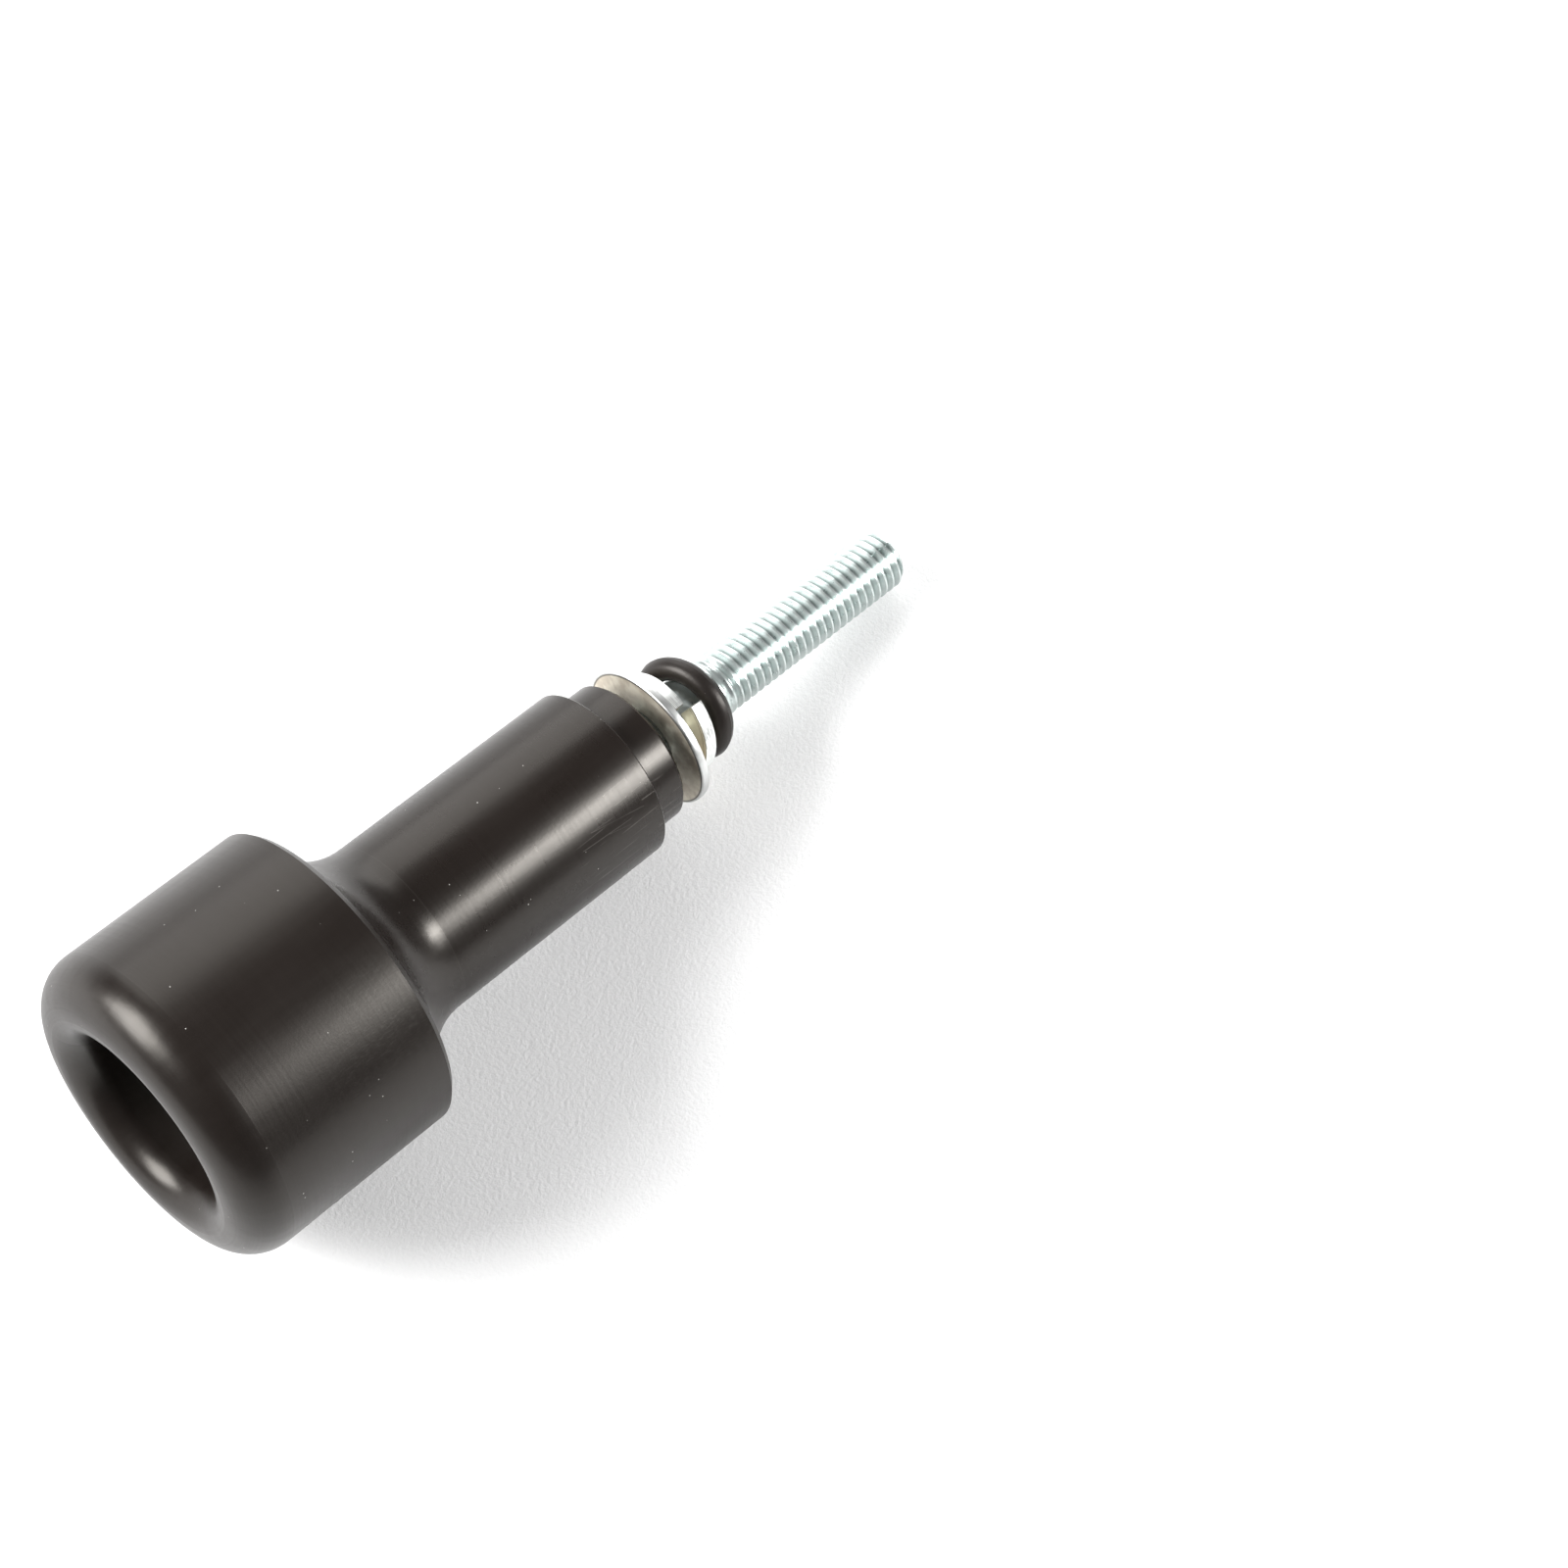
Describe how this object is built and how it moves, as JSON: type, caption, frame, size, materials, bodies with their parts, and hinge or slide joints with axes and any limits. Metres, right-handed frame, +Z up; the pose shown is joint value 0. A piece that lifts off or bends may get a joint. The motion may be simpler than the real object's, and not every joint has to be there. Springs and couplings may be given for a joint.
{
  "type": "motorcycle frame slider",
  "caption": "Turned plastic crash bobbin with a recessed rounded nose, on a long part-threaded bolt with washers and a retaining ring.",
  "frame": {"origin": "on the bolt's axis, where its thread begins", "axes": "+X along the bolt towards its tip, away from the slider's nose; +Z up"},
  "size_m": [0.1494, 0.05, 0.05],
  "materials": {
    "black_acetal": "turned, satin",
    "zinc_plated_bolt": "bright zinc plating",
    "zinc_plated_washer": "zinc plating, a little stained",
    "black_rubber": "moulded, matt"
  },
  "bodies": {
    "bolt": {"mounting_bolt": "zinc_plated_bolt", "flat_washer": "zinc_plated_washer", "spring_washer": "zinc_plated_washer", "retaining_o_ring": "black_rubber"},
    "head_washer": {"head_washer": "zinc_plated_washer"},
    "slider": {"slider_body": "black_acetal"}
  },
  "joints": [
    {"name": "slider_turn", "type": "hinge", "parent": "bolt", "child": "head_washer", "pos_m": [-0.09, 0, 0], "axis": [1, 0, 0], "continuous": true},
    {"name": "slider_slide", "type": "slide", "parent": "head_washer", "child": "slider", "axis": [1, 0, 0], "range_m": [0, 0.003]}
  ]
}
